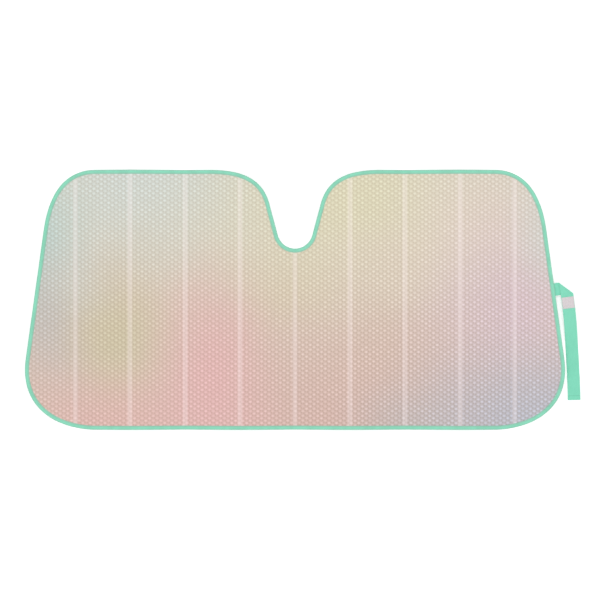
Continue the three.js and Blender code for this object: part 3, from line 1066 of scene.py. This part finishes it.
stitching = {
    "pitch": 0.0036, "length": 0.003, "threadRadius": 0.00021,
    "fromEdge": 0.0084, "front": 0.00308, "back": 0.0003,  # on the binding tape
    "sunk": 0.00006, "inset": 0.0025, "halfAcross": 0.0155, "halfBox": 0.0145,  # on the strap
    "mint": (172, 236, 212), "pale": (226, 224, 220),
}


def makeStitchTree():
    tree, given, give = newShapeTree("stitchRow", pitch=0.0035, length=0.0028, threadRadius=0.0002)
    line = evenCurve(given.geometry, given.pitch)
    tangent = nodeValue(tree, "GeometryNodeInputTangent")
    turn = nodeValue(tree, "FunctionNodeAlignRotationToVector", {"Vector": tangent}, axis="X")
    bead = nodeValue(tree, "GeometryNodeMeshUVSphere", {"Segments": 6, "Rings": 5, "Radius": 1.0})
    lying = nodeValue(tree, "GeometryNodeTransform", {"Geometry": bead, "Rotation": (0.0, math.pi / 2, 0.0)})
    size = joinVector(given.length / 2.0, given.threadRadius, given.threadRadius)
    placed = nodeValue(tree, "GeometryNodeInstanceOnPoints", {
        "Points": line, "Instance": shadeSmooth(lying), "Rotation": turn, "Scale": size})
    endTree(placed, given, give)
    return tree


def makeStitches(name, material, *paths):
    piece = pathPiece(name, paths)
    runNodes(piece, stitchTree, material=material, **stitching)
    return piece


def tapeSeam(level):
    ring = insetRing(outline, stitching["fromEdge"])
    return flatPath(ring, pleatHeight(ring[:, 0]) + level)


def strapSeam(s, t, side=-1):
    # on the strap's outer face (side 1) or inner face (side -1) of the long leg, from place to place
    points = ribbonSurface(np.linspace(*s, 20), np.linspace(*t, 20))
    points[:, 2] += side * (strapShape["thickness"] / 2 - stitching["sunk"])
    return points, False


def padSeam(shape):
    height = shape["base"] + shape["facing"] * (shape["thickness"] + padEdge["seamLift"])
    return flatPath(padRing(shape, padEdge["seamInset"]), height)


stitchTree = makeStitchTree()
mintThread = makeThread("mintThread", stitching["mint"])
paleThread = makeThread("paleThread", stitching["pale"])
tapeStitches = makeStitches(
    "tape_stitches", mintThread, tapeSeam(stitching["front"]), tapeSeam(stitching["back"]))
boxStart = -strapShape["rootFree"] - strapShape["rootSewn"] + stitching["inset"]
boxEnd = -strapShape["rootFree"] - stitching["inset"]
seamEnds = (-stitching["halfAcross"], stitching["halfAcross"])
strapStitches = makeStitches(
    "strap_stitches", mintThread, strapSeam((hemSeam, hemSeam), seamEnds, 1),
    *(strapSeam((s, s), seamEnds) for s in (boxStart, boxEnd)),
    *(strapSeam((boxStart, boxEnd), (t, t)) for t in (-stitching["halfBox"], stitching["halfBox"])))
padStitches = makeStitches("pad_stitches", paleThread, padSeam(loopPadShape), padSeam(hookPadShape))
print("stitches made:", len(tapeStitches.data.polygons), "faces on the tape")


# Floor, light and camera

studio = {
    "floorReach": 6.0, "floorColour": (0.88, 0.88, 0.88, 1.0), "floorGlow": 0.4,
    "horizon": 0.25, "zenith": 1.28, "boxHeight": 6.5, "boxSize": 9.0, "boxPower": 28.0,
}


def makeFloor():
    material, tree, shader = newMaterial(
        "paleFloor", roughness=0.9, baseColor=studio["floorColour"], emissionColor=(1.0, 1.0, 1.0, 1.0))
    rays = addNode(tree, "ShaderNodeLightPath").outputs
    seen = calc("MAXIMUM", Field(rays["Is Camera Ray"]), Field(rays["Is Glossy Ray"]))
    feed(shader.inputs["Emission Strength"], seen * studio["floorGlow"])
    corners = [(x * studio["floorReach"], y * studio["floorReach"], 0.0)
               for x, y in ((-1, -1), (1, -1), (1, 1), (-1, 1))]
    floor = newPiece("floor", corners, [(0, 1, 2, 3)], smooth=False, material=material)


def makeLights():
    world = bpy.data.worlds.new("studioSky")
    bpy.context.scene.world = world
    world.use_nodes = True
    tree = world.node_tree
    background = tree.nodes["Background"]
    background.inputs["Color"].default_value = (1.0, 1.0, 1.0, 1.0)
    # a wide soft light overhead that falls off evenly towards the sides
    direction = nodeValue(tree, "ShaderNodeTexCoord", output="Generated")
    overhead = calc("MAXIMUM", splitVector(direction)[2], 0.0)
    strength = mixValue(overhead, studio["horizon"], studio["zenith"])
    seen = nodeValue(tree, "ShaderNodeLightPath", output="Is Camera Ray")
    feed(background.inputs["Strength"], mixValue(seen, strength, 1.0))
    lamp = bpy.data.lights.new("topSoftbox", "AREA")
    lamp.size = studio["boxSize"]
    lamp.energy = studio["boxPower"]
    addObject("topSoftbox", lamp).location = (0.0, 0.0, studio["boxHeight"])


photoFrame = {
    "pixels": 600, "metresPerPixel": 0.0026934, "centreX": 295.02, "centreY": 299.81, "lens": 130.0,
}


def makeCamera():
    data = bpy.data.cameras.new("photoCamera")
    data.lens = photoFrame["lens"]
    data.clip_end = 50.0
    camera = addObject("photoCamera", data)
    pixel, middle = photoFrame["metresPerPixel"], photoFrame["pixels"] / 2
    camera.location = (
        (middle - photoFrame["centreX"]) * pixel,
        (photoFrame["centreY"] - middle) * pixel,
        photoFrame["pixels"] * pixel * photoFrame["lens"] / data.sensor_width + pleatShape["rise"] / 2,
    )
    bpy.context.scene.camera = camera


makeFloor()
makeLights()
makeCamera()
bpy.context.scene.view_settings.view_transform = "Standard"
print("stage ready")

for piece, node, slot in (
        (frontFilm, "bubble_panel", "foil"), (backFilm, "bubble_panel", "foil"),
        (bindingTape, "edge_binding", "tape"), (strap, "closure_strap", "webbing"),
        (loopPad, "loop_patch", "loop_pile"), (hookPad, "hook_patch", "hook_tape"),
        (tapeStitches, None, "tape"), (strapStitches, None, "webbing"), (padStitches, None, "loop_pile")):
    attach(piece, rootBody)
    if node:
        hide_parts(node)


# The sheets as they were cut, before they were folded

def flatFilm():
    # width, height and area of a film whose pleats are pulled flat
    ring = insetRing(outline, filmGrid["edgeInset"])
    stretch = math.hypot(pleatShape["pitch"], pleatShape["rise"]) / pleatShape["pitch"]
    wide, high = np.ptp(ring, axis=0)
    turned = np.roll(ring, -1, axis=0)
    area = abs(np.sum(ring[:, 0] * turned[:, 1] - ring[:, 1] * turned[:, 0])) / 2
    return (wide * stretch, high), area * stretch


filmCut, filmArea = flatFilm()
tapeCut = (tapeShape["cutWidth"], ringLength(outline))
strapCut = (strapShape["width"],
            strapShape["rootSewn"] + strapShape["rootFree"] + hemEnd + strapShape["hem"])
print("cut sizes:", *(np.round(size, 4) for size in (filmCut, filmArea, tapeCut, strapCut)))
